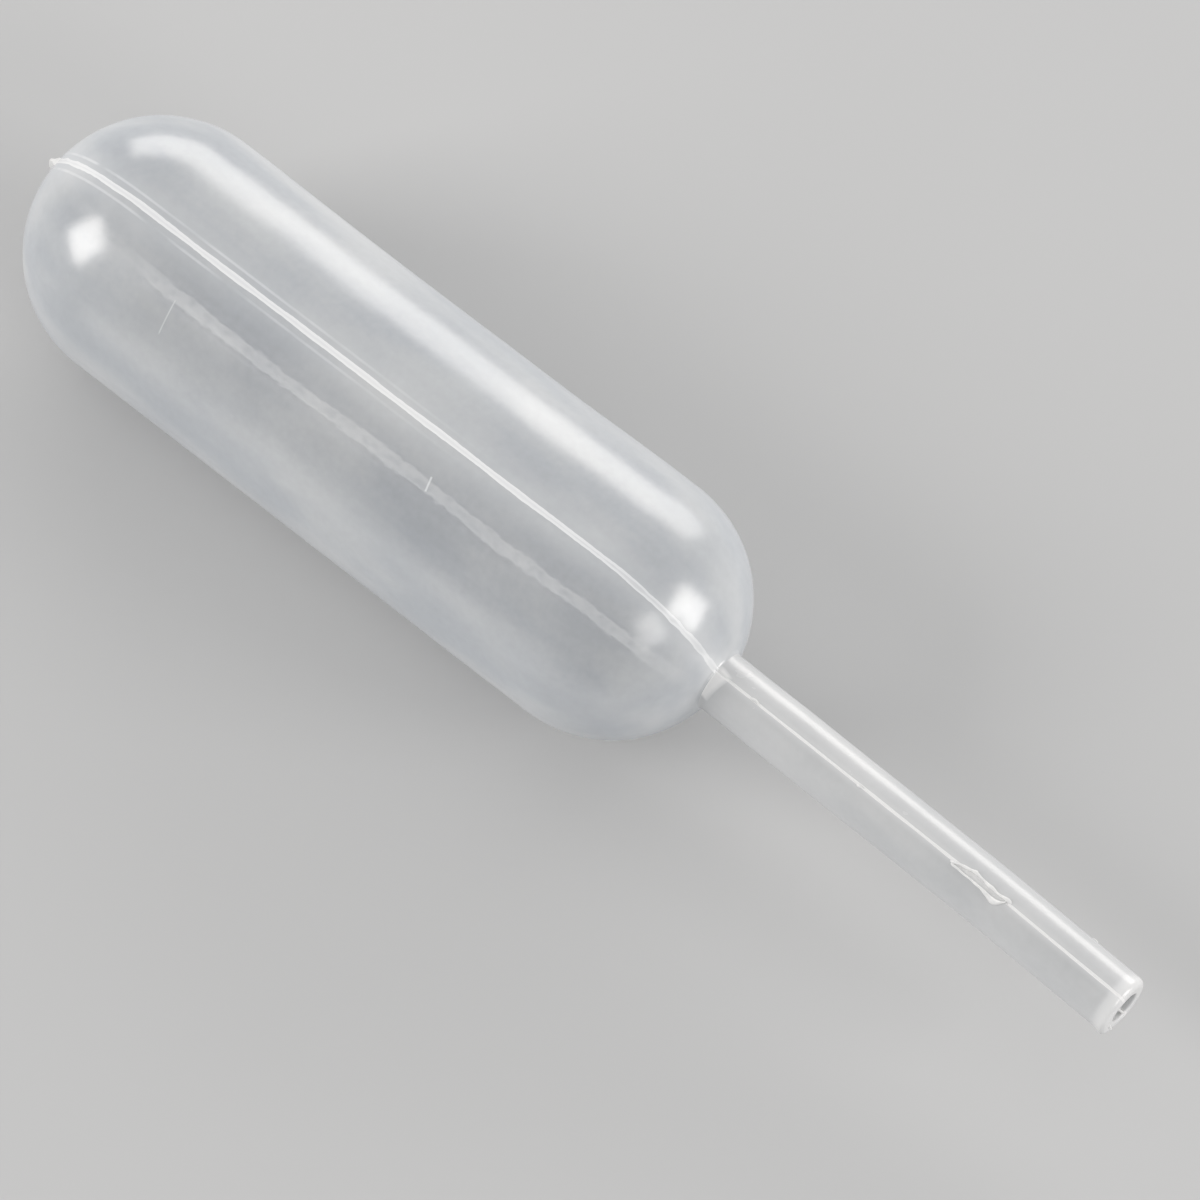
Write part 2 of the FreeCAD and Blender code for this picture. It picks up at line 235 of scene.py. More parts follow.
@dataclass(frozen=True)
class Signal:
    """A number that varies over a surface, which takes part in sums as a plain number does."""

    bench: NodeBench
    socket: bpy.types.NodeSocket

    def maths(self, operation: str, *values: Signal | float) -> Signal:
        """A Math node on these values."""
        return self.bench.signal("ShaderNodeMath", "Value", {"operation": operation}, dict(enumerate(values)))

    def __add__(self, other: Signal | float) -> Signal:
        """This plus the other."""
        return self.maths("ADD", self, other)

    __radd__ = __add__

    def __sub__(self, other: Signal | float) -> Signal:
        """This less the other."""
        return self.maths("SUBTRACT", self, other)

    def __rsub__(self, other: float) -> Signal:
        """The other less this."""
        return self.maths("SUBTRACT", other, self)

    def __mul__(self, other: Signal | float) -> Signal:
        """This times the other."""
        return self.maths("MULTIPLY", self, other)

    __rmul__ = __mul__

    def __truediv__(self, other: Signal | float) -> Signal:
        """This over the other."""
        return self.maths("DIVIDE", self, other)

    def __rtruediv__(self, other: float) -> Signal:
        """The other over this."""
        return self.maths("DIVIDE", other, self)

    def __pow__(self, power: Signal | float) -> Signal:
        """This to a power."""
        return self.maths("POWER", self, power)

    def __abs__(self) -> Signal:
        """This without its sign."""
        return self.maths("ABSOLUTE", self)

    def at_least(self, floor: Signal | float) -> Signal:
        """The larger of this and a floor."""
        return self.maths("MAXIMUM", self, floor)

    def at_most(self, ceiling: Signal | float) -> Signal:
        """The smaller of this and a ceiling."""
        return self.maths("MINIMUM", self, ceiling)

    def rise(self, start: float, end: float) -> Signal:
        """A smooth step from 0 at the start to 1 at the end."""
        values = {0: self, 1: start, 2: end, 3: 0.0, 4: 1.0}
        return self.bench.signal("ShaderNodeMapRange", "Result", {"interpolation_type": "SMOOTHSTEP"}, values)

    def fall(self, start: float, end: float) -> Signal:
        """A smooth step from 1 at the start to 0 at the end."""
        return 1 - self.rise(start, end)


class NodeBench:
    """The node tree of a material or a world, and the one way in which its nodes are made."""

    def __init__(self, owner: bpy.types.Material | bpy.types.World) -> None:
        """Clear the tree of a new material or world."""
        owner.use_nodes = True
        self.owner = owner
        self.tree = owner.node_tree
        self.tree.nodes.clear()

    def node(
        self, kind: str, settings: dict[str, object] | None = None, sockets: dict | None = None
    ) -> bpy.types.Node:
        """Make a node.

        Args:
            kind: The node's type.
            settings: Its settings, set first.
            sockets: For each input, by name or number, a value, a Signal or a socket.

        Returns:
            The node.
        """
        node = self.tree.nodes.new(kind)
        for key, value in (settings or {}).items():
            setattr(node, key, value)
        for key, value in (sockets or {}).items():
            source = value.socket if isinstance(value, Signal) else value
            if isinstance(source, bpy.types.NodeSocket):
                self.tree.links.new(source, node.inputs[key])
            else:
                node.inputs[key].default_value = source
        return node

    def signal(self, kind: str, output: str, settings: dict, sockets: dict) -> Signal:
        """Make a node and give one of its outputs as a Signal."""
        return Signal(self, self.node(kind, settings, sockets).outputs[output])

    def place(self) -> bpy.types.NodeSocket:
        """Where on the pipette a point of the surface is."""
        return self.node("ShaderNodeTexCoord").outputs["Object"]

    def split(self, vector: bpy.types.NodeSocket) -> tuple[Signal, Signal, Signal]:
        """The X, Y and Z of a vector."""
        node = self.node("ShaderNodeSeparateXYZ", {}, {"Vector": vector})
        return tuple(Signal(self, output) for output in node.outputs)

    def moulded_place(self) -> tuple[Signal, Signal, Signal]:
        """Where a point of the surface was in the straight mould, as X, Y and Z."""
        known = self.node("ShaderNodeAttribute", {"attribute_name": MOULDED_PLACE})
        return self.split(known.outputs["Vector"])

    def framed(
        self, place: bpy.types.NodeSocket, origin: Vector, turn: tuple[float, float, float]
    ) -> tuple[Signal, Signal, Signal]:
        """See a place from a frame that stands elsewhere and is turned.

        Args:
            place: Where on the pipette a point of the surface is.
            origin: Where the frame stands.
            turn: The frame's turns about X, Y and Z, in radians.

        Returns:
            The place's X, Y and Z in the frame.
        """
        sockets = {"Vector": place, "Location": origin, "Rotation": turn}
        mapped = self.node("ShaderNodeMapping", {"vector_type": "TEXTURE"}, sockets)
        return self.split(mapped.outputs["Vector"])

    def stretched(self, place: bpy.types.NodeSocket, along: float) -> bpy.types.NodeSocket:
        """The place with its X drawn out, so that a pattern on it runs along the pipette."""
        mapped = self.node("ShaderNodeMapping", {}, {"Vector": place, "Scale": (1 / along, 1.0, 1.0)})
        return mapped.outputs[0]

    def noise(self, place: bpy.types.NodeSocket, size: float, detail: float) -> Signal:
        """Cloudy noise from 0 to 1, whose blotches are about that size across."""
        sockets = {"Vector": place, "Scale": 1 / size, "Detail": detail}
        return self.signal("ShaderNodeTexNoise", "Fac", {}, sockets)

    def blend(
        self,
        share: Signal,
        first: Colour | bpy.types.NodeSocket,
        second: Colour | bpy.types.NodeSocket,
    ) -> bpy.types.NodeSocket:
        """Mix two colours.

        Args:
            share: The second colour's share, which varies over the surface.
            first: The colour where the share is 0.
            second: The colour where the share is 1.

        Returns:
            The socket that gives the mixed colour.
        """
        ends = [end if isinstance(end, bpy.types.NodeSocket) else (*end, 1.0) for end in (first, second)]
        sockets = {0: share, 6: ends[0], 7: ends[1]}
        return self.node("ShaderNodeMix", {"data_type": "RGBA"}, sockets).outputs[2]

    def surface(self, shader: bpy.types.Node) -> bpy.types.Material | bpy.types.World:
        """Put a shader on the surface.

        Args:
            shader: The shader's node.

        Returns:
            The finished material or world.
        """
        kind = "Material" if isinstance(self.owner, bpy.types.Material) else "World"
        self.node(f"ShaderNodeOutput{kind}", {}, {"Surface": shader.outputs[0]})
        return self.owner


# ---- the pipette's form ----------------------------------------------------------------------------


@dataclass(frozen=True)
class Form:
    """The sizes that all pieces share, and how a piece comes from the straight frame to its place.

    The stem leans by root_lean degrees at the neck, and bends until it leans by tip_lean degrees where
    its last stretch, tip_run, begins. The plane of the lean is turned by lean_turn degrees round the axis.
    """

    bulb_radius: float
    barrel_length: float
    stem_radius: float
    bore_radius: float
    axis_height: float
    middle_x: float
    wall: float = 0.4 * MM
    ridge_height: float = 0.05 * MM
    stem_reach: float = 24.1 * MM
    tip_run: float = 6.9 * MM
    bend_radius: float = 150 * MM
    root_lean: float = 1.1
    tip_lean: float = 2.3
    lean_turn: float = 25.0
    bend_steps: int = 6

    @classmethod
    def from_record(cls, record: dict) -> Form:
        """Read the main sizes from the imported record's mounts.

        Args:
            record: The record that came with the frame.

        Returns:
            The form.
        """
        mounts = {mount["name"]: mount for mount in record["mounts"]}
        barrel, stem, bore = mounts["barrel"], mounts["stem"], mounts["bore"]
        return cls(
            bulb_radius=barrel["dims"]["r_mm"] * MM,
            barrel_length=barrel["dims"]["length_mm"] * MM,
            stem_radius=stem["dims"]["r_mm"] * MM,
            bore_radius=bore["dims"]["r_mm"] * MM,
            axis_height=barrel["pos_m"][2],
            middle_x=barrel["pos_m"][0],
        )

    @property
    def dome(self) -> Vector:
        """The centre of the front dome."""
        return Vector((self.barrel_length / 2, 0, 0))

    @property
    def crown(self) -> float:
        """How far along the axis the front dome's crown is."""
        return self.barrel_length / 2 + self.bulb_radius

    @property
    def tip(self) -> float:
        """How far along the straight stem its end is."""
        return self.crown + self.stem_reach

    @property
    def rest_tilt(self) -> float:
        """How far the parting plane is off upright: the soft flat and the lower ridge both touch."""
        return math.degrees(math.acos(self.axis_height / (self.bulb_radius + self.ridge_height)))

    def on_stem(self, along: float, round_seam: float, lift: float) -> Vector:
        """A place at the stem's surface.

        Args:
            along: Its X in the straight frame.
            round_seam: How far round the stem it is from the upper seam, towards +Y.
            lift: How far it stands off the surface.

        Returns:
            The place in the straight frame.
        """
        angle = round_seam / self.stem_radius
        radius = self.stem_radius + lift
        return Vector((along, radius * math.sin(angle), radius * math.cos(angle)))

    def settle(self, piece: bpy.types.Object) -> None:
        """Lean the stem of a piece, and lay the piece down where it rests.

        Args:
            piece: The piece that is in edit mode.
        """
        bpy.ops.mesh.select_all(action="SELECT")
        rotate_points(-self.lean_turn, "X", Vector())
        self._lean(piece)
        bpy.ops.mesh.select_all(action="SELECT")
        rotate_points(self.lean_turn + self.rest_tilt, "X", Vector())
        bpy.ops.transform.translate(value=(self.middle_x, 0, self.axis_height))

    def _lean(self, piece: bpy.types.Object) -> None:
        """Lean the stem towards -Y at its root, and a little more in small turns further on.

        Args:
            piece: The piece that is in edit mode.
        """
        arc_angle = self.tip_lean - self.root_lean
        arc_length = self.bend_radius * math.radians(arc_angle)
        start = self.tip - self.tip_run - arc_length
        stations = [(self.crown, self.root_lean)]
        for step in range(self.bend_steps):
            stations.append((start + (step + 0.5) / self.bend_steps * arc_length, arc_angle / self.bend_steps))
        pivot = Vector((self.crown, 0, 0))
        lean = 0.0
        for along, degrees in stations:
            pivot = Vector((along, pivot.y - (along - pivot.x) * math.tan(math.radians(lean)), 0))
            select_points(piece, lambda place: place.x > along)
            rotate_points(-degrees, "Z", pivot)
            lean += degrees


# ---- finishes --------------------------------------------------------------------------------------


@dataclass(frozen=True)
class Mark:
    """A short pale line on the pipette, as places where the pipette lies: a scuff, or a painted highlight."""

    start: Vector
    end: Vector
    width: float
    strength: float
    depth: float = 0.6 * MM

    def mask(self, bench: NodeBench, place: bpy.types.NodeSocket) -> Signal:
        """Tell where the mark is.

        Args:
            bench: The node tree of the finish that has the mark.
            place: Where on the pipette a point of the surface is.

        Returns:
            The mark's strength on its line, and 0 beyond its width, ends and depth.
        """
        run = self.end - self.start
        turn = run.to_track_quat("X", "Z").to_euler()
        along, across, over = bench.framed(place, (self.start + self.end) / 2, tuple(turn))
        line = abs(across).fall(0.3 * self.width, self.width)
        inside = abs(along).fall(0.4 * run.length, 0.5 * run.length)
        return line * inside * abs(over).fall(self.depth - 0.1 * MM, self.depth) * self.strength


@dataclass(frozen=True)
class MilkyPlastic:
    """Thin natural polyethylene: a satin gloss over a milky haze, denser where the wall is thick.

    A haze is the share of light that the wall stops where it is seen square on. The weld is the white
    line at the parting plane, partly the real weld and partly a painted highlight of the ridge: weld_edge
    makes it clearer along its middle, ragged and scaly roughen its sides, patchy opens gaps in it, and
    front_fade thins it towards the stem. A soft glow lies round it and a fine line, the fringe, on each
    side of it. The marks are short pale lines: scuffs, and a painted highlight.
    """

    form: Form
    name: str
    colour: Colour
    shade: Colour
    weld_and_highlight_colour: Colour
    haze: float
    root_haze: float
    mottle: float
    weld_and_highlight_haze: float
    weld_width: float
    weld_edge: float
    fringe: float
    fringe_haze: float
    glow_width: float
    glow_haze: float
    roughness: float
    ior: float
    ragged: float = 0.8
    scaly: float = 0.3
    patchy: float = 0.0
    front_fade: float = 0.0
    tip_white: float = 0.0
    marks: tuple[Mark, ...] = ()
    cloud_size: float = 3.0 * MM
    streak_size: float = 0.5 * MM
    grain_size: float = 0.4 * MM
    least_haze: float = 0.03
    most_haze: float = 0.97
    least_cosine: float = 0.12

    def make(self) -> bpy.types.Material:
        """Build the material.

        Returns:
            The material, whose see-through share follows the haze and the slant of the wall.
        """
        bench = NodeBench(bpy.data.materials.new(self.name))
        place = bench.place()
        along, off_plane, _ = bench.moulded_place()
        clouds = bench.noise(bench.stretched(place, 2.5), self.cloud_size, 2)
        streaks = bench.noise(bench.stretched(place, 6), self.streak_size, 1)
        grain = bench.noise(place, self.grain_size, 1)
        white = self._weld_and_painted_highlight(along, abs(off_plane), streaks, grain)
        white = white + along.rise(self.form.tip - 0.9 * MM, self.form.tip - 0.2 * MM) * self.tip_white
        for mark in self.marks:
            white = white + mark.mask(bench, place)
        uneven = (clouds - 0.5) + (streaks - 0.5) * 0.4 + (grain - 0.5) * 0.6
        haze = self._haze(along) + uneven * self.mottle
        haze = (haze + white).at_most(self.most_haze).at_least(self.least_haze)
        facing = bench.signal("ShaderNodeLayerWeight", "Facing", {}, {"Blend": 0.5})
        slant = 1 / (1 - facing).at_least(self.least_cosine)
        body = bench.blend(clouds.rise(0.3, 0.7), self.shade, self.colour)
        bump = {"Strength": 0.2, "Distance": 0.01 * MM, "Height": streaks}
        shader = bench.node(
            "ShaderNodeBsdfPrincipled",
            {},
            {
                # Whiter where the weld (partly a painted highlight), the tip and the marks (scuffs and a
                # painted highlight) are.
                "Base Color": bench.blend(white.at_most(1.0), body, self.weld_and_highlight_colour),
                "Roughness": self.roughness + (clouds - 0.5) * 0.10 + (grain - 0.5) * 0.08,
                "IOR": self.ior,
                "Specular IOR Level": 1.0,
                "Alpha": 1 - (1 - haze) ** slant,
                "Normal": bench.node("ShaderNodeBump", {}, bump).outputs["Normal"],
            },
        )
        return bench.surface(shader)

    def _haze(self, along: Signal) -> Signal:
        """The milky share of the wall, which grows towards the neck."""
        thick = along.rise(self.form.crown - 4 * MM, self.form.crown)
        return self.haze + (self.root_haze - self.haze) * thick

    def _weld_and_painted_highlight(self, along: Signal, off_plane: Signal, streaks: Signal, grain: Signal) -> Signal:
        """Tell how much whiter the wall is at the parting line, where the weld is partly a painted highlight of
        the ridge, in its glow and in the fringe beside it.

        Args:
            along: How far along the mould a place is.
            off_plane: How far off the parting plane it is.
            streaks: Fine noise drawn out along the pipette.
            grain: The finest noise.

        Returns:
            The haze that the weld, with its painted highlight, adds.
        """
        scales = (streaks - 0.5) * self.ragged + (grain - 0.5) * self.scaly
        reach = off_plane + scales * self.weld_width
        band = reach.fall(0.8 * self.weld_width, self.weld_width)
        hollow = reach.fall(0.15 * self.weld_width, 0.45 * self.weld_width)
        fade = 1 - along.rise(0.25 * self.form.barrel_length, self.form.crown) * self.front_fade
        cover = 1 - grain.fall(0.3, 0.6) * self.patchy
        # The weld band: partly the real weld, partly a painted highlight standing in for the lamps caught on
        # the ridge.
        weld = band * (1 - hollow * self.weld_edge) * fade * cover
        glow = off_plane.fall(0.0, self.glow_width)
        fringe = abs(off_plane - self.fringe).fall(0.02 * MM, 0.10 * MM) * streaks.rise(0.2, 0.6)
        fringe = fringe * along.fall(-0.3 * self.form.barrel_length, 0.3 * self.form.barrel_length)
        return weld * self.weld_and_highlight_haze + glow * self.glow_haze + fringe * self.fringe_haze


@dataclass(frozen=True)
class TornFlash:
    """Thin torn plastic that has gone nearly white."""

    name: str = "white_flash"
    colour: Colour = (0.93, 0.93, 0.92)
    shade: Colour = (0.78, 0.79, 0.80)
    haze: float = 0.85
    roughness: float = 0.3
    cloud_size: float = 0.5 * MM

    def make(self) -> bpy.types.Material:
        """Build the material.

        Returns:
            The material, which lets a little light through in patches.
        """
        bench = NodeBench(bpy.data.materials.new(self.name))
        place = bench.place()
        clouds = bench.noise(place, self.cloud_size, 4)
        bump = {"Strength": 0.4, "Distance": 0.02 * MM, "Height": clouds}
        shader = bench.node(
            "ShaderNodeBsdfPrincipled",
            {},
            {
                "Base Color": bench.blend(clouds, self.shade, self.colour),
                "Roughness": self.roughness + (clouds - 0.5) * 0.2,
                "Alpha": (self.haze + (clouds - 0.5) * 0.3).at_most(1.0),
                "Normal": bench.node("ShaderNodeBump", {}, bump).outputs["Normal"],
            },
        )
        return bench.surface(shader)


@dataclass(frozen=True)
class PaleFloor:
    """A matt pale table top with a faint mottle, which fades out at its rim."""

    fade_end: float
    name: str = "pale_floor"
    colour: Colour = (0.55, 0.555, 0.56)
    worn: Colour = (0.53, 0.535, 0.54)
    mottle_size: float = 40 * MM
    roughness: float = 0.6

    def make(self) -> bpy.types.Material:
        """Build the material.

        Returns:
            The material, which can't be seen beyond the rim.
        """
        bench = NodeBench(bpy.data.materials.new(self.name))
        place = bench.place()
        mottle = bench.noise(place, self.mottle_size, 3)
        from_middle = bench.signal("ShaderNodeVectorMath", "Value", {"operation": "LENGTH"}, {0: place})
        shader = bench.node(
            "ShaderNodeBsdfPrincipled",
            {},
            {
                "Base Color": bench.blend(mottle, self.worn, self.colour),
                "Roughness": self.roughness,
                "Specular IOR Level": 0.1,
                "Alpha": from_middle.fall(0.6 * self.fade_end, self.fade_end),
            },
        )
        return bench.surface(shader)


# ---- the moulding ----------------------------------------------------------------------------------


class Zone(Enum):
    """The parts of the moulding's skin that have a finish of their own."""

    BULB = 0
    CAVITY = 1
    STEM = 2


@dataclass
class Moulding:
    """The bulb and its stem, one hollow shell.

    The reaches of the beads are counted in steps of the turn off the parting plane.
    """

    form: Form
    neck_round: float = 0.25 * MM
    throat_round: float = 0.5 * MM
    tip_round: float = 0.35 * MM
    mouth_round: float = 0.1 * MM
    stem_ridge_height: float = 0.04 * MM
    waist: float = 0.1 * MM
    waviness: float = 0.05 * MM
    wave_size: float = 5 * MM
    waist_core: float = 4 * MM
    waist_reach: float = 9 * MM
    corner_push: tuple[float, float, float] = (0.05 * MM, -0.12 * MM, 0.0)
    corner_reach: float = 0.4 * MM
    smooth_angle: float = 50.0
    ridge_steps: int = 12
    ridge_sector: float = 5.4
    bulb_bead: tuple[float, float] = (0.5, 2.5)
    stem_bead: float = 3.5
    side_steps: int = 64
    rear_steps: int = 36
    barrel_steps: int = 56
    front_steps: int = 32
    stem_steps: int = 90
    fillet_steps: int = 6
    face_steps: int = 3
    inner_front_steps: int = 30
    inner_barrel_steps: int = 40
    inner_rear_steps: int = 28

    def build(self) -> bpy.types.Object:
        """Model the shell and lay it down.

        Returns:
            The finished piece, in its place.
        """
        piece = self._turned_shell()
        self._raise_ridge(piece)
        self._soften(piece)
        self._note_moulded_place(piece)
        self._square_corner(piece)
        self.form.settle(piece)
        self._press_flat(piece)
        return piece

    def dress(self, piece: bpy.types.Object, finishes: dict[Zone, bpy.types.Material]) -> None:
        """Give each zone of the skin its finish.

        Args:
            piece: The finished shell.
            finishes: The finish of each zone.
        """
        for zone in Zone:
            piece.data.materials.append(finishes[zone])
        middle = Vector((self.form.middle_x, 0, self.form.axis_height))
        half = self.form.barrel_length / 2
        for face in piece.data.polygons:
            place = face.center - middle
            nearest = Vector((max(-half, min(half, place.x)), 0, 0))
            if place.x > self.form.crown - 0.1 * MM:
                zone = Zone.STEM
            elif (place - nearest).dot(face.normal) < 0:
                zone = Zone.CAVITY
            else:
                zone = Zone.BULB
            face.material_index = zone.value

    def _turned_shell(self) -> bpy.types.Object:
        """Draw half the section, from the rear pole outside to the rear pole inside, and turn it.

        Returns:
            The shell, in edit mode and without its ridge.
        """
        form = self.form
        rear = -form.dome
        inner = form.bulb_radius - form.wall
        pencil = Pencil("pipette_moulding", Vector((-form.crown, 0, 0)))
        pencil.arc(rear, -90, self.rear_steps)
        pencil.line(Vector((-rear.x, 0, form.bulb_radius)), self.barrel_steps)
        self._neck(pencil)
        edge = form.tip - self.tip_round
        pencil.line(Vector((edge, 0, form.stem_radius)), self.stem_steps)
        pencil.arc(Vector((edge, 0, form.stem_radius - self.tip_round)), -90, self.fillet_steps)
        mouth = form.bore_radius + self.mouth_round
        pencil.line(Vector((form.tip, 0, mouth)), self.face_steps)
        pencil.arc(Vector((form.tip - self.mouth_round, 0, mouth)), -90, self.face_steps)
        self._throat(pencil, inner)
        pencil.line(Vector((rear.x, 0, inner)), self.inner_barrel_steps)
        pencil.arc(rear, 90, self.inner_rear_steps)
        half = 180 - self.ridge_sector
        pencil.turn(((self.ridge_sector, self.ridge_steps), (half, self.side_steps)) * 2)
        return pencil.piece

    def _neck(self, pencil: Pencil) -> None:
        """Draw the front dome down to the neck, and the fillet that carries it into the stem.

        Args:
            pencil: The pencil, whose last point is at the top of the dome.
        """
        centre, contact = self._fillet(self.form.bulb_radius, self.form.stem_radius, self.neck_round)
        pencil.arc(self.form.dome, contact - 90, self.front_steps)
        pencil.arc(centre, 90 - contact, self.fillet_steps)

    def _throat(self, pencil: Pencil, inner: float) -> None:
        """Draw the bore back to the throat, its rounding, and the cavity's front dome.

        Args:
            pencil: The pencil, whose last point is at the mouth.
            inner: The cavity's radius.
        """
        centre, contact = self._fillet(inner, self.form.bore_radius, self.throat_round)
        pencil.line(Vector((centre.x, 0, self.form.bore_radius)), self.stem_steps)
        pencil.arc(centre, contact - 90, self.fillet_steps)
        pencil.arc(self.form.dome, 90 - contact, self.inner_front_steps)

    def _fillet(self, radius: float, tube: float, rounding: float) -> tuple[Vector, float]:
        """Find the fillet between the front dome and a tube that leaves it.

        Args:
            radius: The dome's radius.
            tube: The tube's radius.
            rounding: The fillet's radius.

        Returns:
            The fillet's centre, and the angle off the axis at which it touches the dome.
        """
        height = tube + rounding
        reach = radius + rounding
        centre = self.form.dome + Vector((math.sqrt(reach**2 - height**2), 0, height))
        return centre, math.degrees(math.asin(height / reach))

    def _raise_ridge(self, piece: bpy.types.Object) -> None:
        """Raise the parting ridge: on the bulb two beads with a groove between, on the stem one.

        Args:
            piece: The shell, in edit mode.
        """
        step = math.radians(self.ridge_sector / self.ridge_steps)
        neck = self.form.crown - 0.2 * MM
        inmost, outmost = self.bulb_bead

        def steps_off(place: Vector) -> float:
            """How many steps of the turn a place is off the parting plane, or infinity inside."""
            if self._is_inside(place):
                return math.inf
            return abs(math.atan2(place.y, abs(place.z))) / step

        def on_bulb(place: Vector) -> bool:
            """Whether a place is on one of the two beads of the bulb."""
            return place.x < neck and inmost < steps_off(place) < outmost

        def on_stem(place: Vector) -> bool:
            """Whether a place is on the stem's single bead."""
            return place.x > neck and steps_off(place) < self.stem_bead

        bpy.ops.mesh.select_all(action="SELECT")
        rotate_points(self.ridge_sector / 2, "X", Vector())
        for wanted, height in ((on_bulb, self.form.ridge_height), (on_stem, self.stem_ridge_height)):
            select_points(piece, wanted)
            bpy.ops.transform.shrink_fatten(value=height)

    def _is_inside(self, place: Vector) -> bool:
        """Tell whether a place is out of the ridge's reach.

        Args:
            place: A place in the straight frame.

        Returns:
            True in the cavity, in the bore, on the end face and close to the rear pole.
        """
        half = self.form.barrel_length / 2
        off_axis = math.hypot(place.y, place.z)
        if place.x > self.form.crown:
            return off_axis < self.form.stem_radius - 0.01 * MM
        nearest = Vector((max(-half, min(half, place.x)), 0, 0))
        in_cavity = (place - nearest).length < self.form.bulb_radius - self.form.wall / 2
        return in_cavity or off_axis < self.form.stem_radius - 0.5 * MM

    def _soften(self, piece: bpy.types.Object) -> None:
        """Give the thin wall its slight waist on one side, and the faint waves of a blown wall.

        Args:
            piece: The shell, in edit mode.
        """
        side = 0.6 * self.form.bulb_radius
        select_points(piece, lambda place: place.y > side and abs(place.x) < self.waist_core)
        bpy.ops.transform.translate(
            value=(0, -self.waist, 0),
            use_proportional_edit=True,
            use_proportional_connected=True,
            proportional_edit_falloff="SMOOTH",
            proportional_size=self.waist_reach,
        )
        bpy.ops.mesh.select_all(action="SELECT")
        bpy.ops.mesh.normals_make_consistent(inside=False)
        switch(Mode.OBJECT)
        waves = bpy.data.textures.new("wall_waves", "CLOUDS")
        waves.noise_scale = self.wave_size
        settings = {
            "texture": waves,
            "texture_coords": "LOCAL",
            "direction": "Y",
            "strength": self.waviness,
            "mid_level": 0.5,
        }
        modify(piece, "DISPLACE", settings)
        modify(piece, "DISPLACE", settings | {"direction": "Z"})
        switch(Mode.EDIT)

    def _note_moulded_place(self, piece: bpy.types.Object) -> None:
        """Keep where each point is in the straight mould, which the weld in the finish follows.

        Args:
            piece: The shell, in edit mode.
        """
        switch(Mode.OBJECT)
        places = [value for vertex in piece.data.vertices for value in vertex.co]
        piece.data.attributes.new(MOULDED_PLACE, "FLOAT_VECTOR", "POINT").data.foreach_set("vector", places)
        switch(Mode.EDIT)

    def _square_corner(self, piece: bpy.types.Object) -> None:
        """Leave the tip's corner on the -Y side squarer than the rest, as a blunt blade does.

        Args:
            piece: The shell, in edit mode.
        """
        edge = self.form.tip - 0.5 * self.tip_round
        side = -0.8 * self.form.stem_radius
        select_points(piece, lambda place: place.x > edge and place.y < side)
        bpy.ops.transform.translate(
            value=self.corner_push,
            use_proportional_edit=True,
            use_proportional_connected=True,
            proportional_edit_falloff="LINEAR",
            proportional_size=self.corner_reach,
        )

    def _press_flat(self, piece: bpy.types.Object) -> None:
        """Press the underside of the soft wall flat on the floor.

        Args:
            piece: The shell, in its place and in edit mode.
        """
        select_points(piece, lambda place: place.z < 0)
        bpy.ops.transform.resize(value=(1, 1, 0), center_override=(0, 0, 0))
        bpy.ops.mesh.select_all(action="SELECT")
        bpy.ops.mesh.normals_make_consistent(inside=False)
        switch(Mode.OBJECT)
        bpy.ops.object.shade_smooth_by_angle(angle=math.radians(self.smooth_angle))


@dataclass
class PinchOffFin:
    """The fin on the rear dome where the mould pinched the blown tube shut."""

    form: Form
    height: float = 0.35 * MM
    foot_width: float = 0.45 * MM
    crest_share: float = 0.35
    length: float = 3.8 * MM
    run_out: float = 1.4 * MM
    arc_steps: int = 14
    end_steps: int = 5
    edge_round: float = 0.04 * MM

    def build(self) -> bpy.types.Object:
        """Model the fin in the parting plane, and lay it down with the moulding.

        Returns:
            The finished piece, in its place.
        """
        centre = -self.form.dome
        foot = self.form.bulb_radius - self.form.wall / 2
        crest = self.form.bulb_radius + self.height
        foot_swing = math.degrees(math.asin((self.length / 2 + self.run_out) / foot))
        crest_swing = math.degrees(math.asin(self.length / 2 / crest))
        start = self._on_dome(foot, -foot_swing)
        pencil = Pencil("pinch_off_fin", start)
        pencil.arc(centre, -2 * foot_swing, self.arc_steps + 2 * self.end_steps)
        pencil.lift_to(start)
        pencil.line(self._on_dome(crest, -crest_swing), self.end_steps)
        pencil.arc(centre, -2 * crest_swing, self.arc_steps)
        pencil.line(self._on_dome(foot, foot_swing), self.end_steps)
        bpy.ops.mesh.select_all(action="SELECT")
        bpy.ops.mesh.bridge_edge_loops()
        bpy.ops.mesh.select_all(action="SELECT")
        bpy.ops.transform.translate(value=(0, -self.foot_width / 2, 0))
        bpy.ops.mesh.extrude_region_move(TRANSFORM_OT_translate={"value": (0, self.foot_width, 0)})
        piece = pencil.piece
        select_points(piece, lambda place: (place - centre).length > self.form.bulb_radius + 0.1 * MM)
        bpy.ops.transform.resize(value=(1, self.crest_share, 1), center_override=(0, 0, 0))
        bpy.ops.mesh.select_all(action="SELECT")
        bpy.ops.mesh.remove_doubles(threshold=WELD)
        bpy.ops.mesh.normals_make_consistent(inside=False)
        self.form.settle(piece)
        switch(Mode.OBJECT)
        modify(piece, "BEVEL", {"width": self.edge_round, "segments": 3, "limit_method": "ANGLE"})
        bpy.ops.object.shade_smooth_by_angle(angle=math.radians(60))
        return piece

    def _on_dome(self, radius: float, swing: float) -> Vector:
        """A place in the parting plane at a radius from the rear dome's centre.

        Args:
            radius: The distance from the centre.
            swing: Degrees from the dome's pole towards the upper seam.

        Returns:
            The place in the straight frame.
        """
        angle = math.radians(swing)
        return -self.form.dome + radius * Vector((-math.cos(angle), 0, math.sin(angle)))


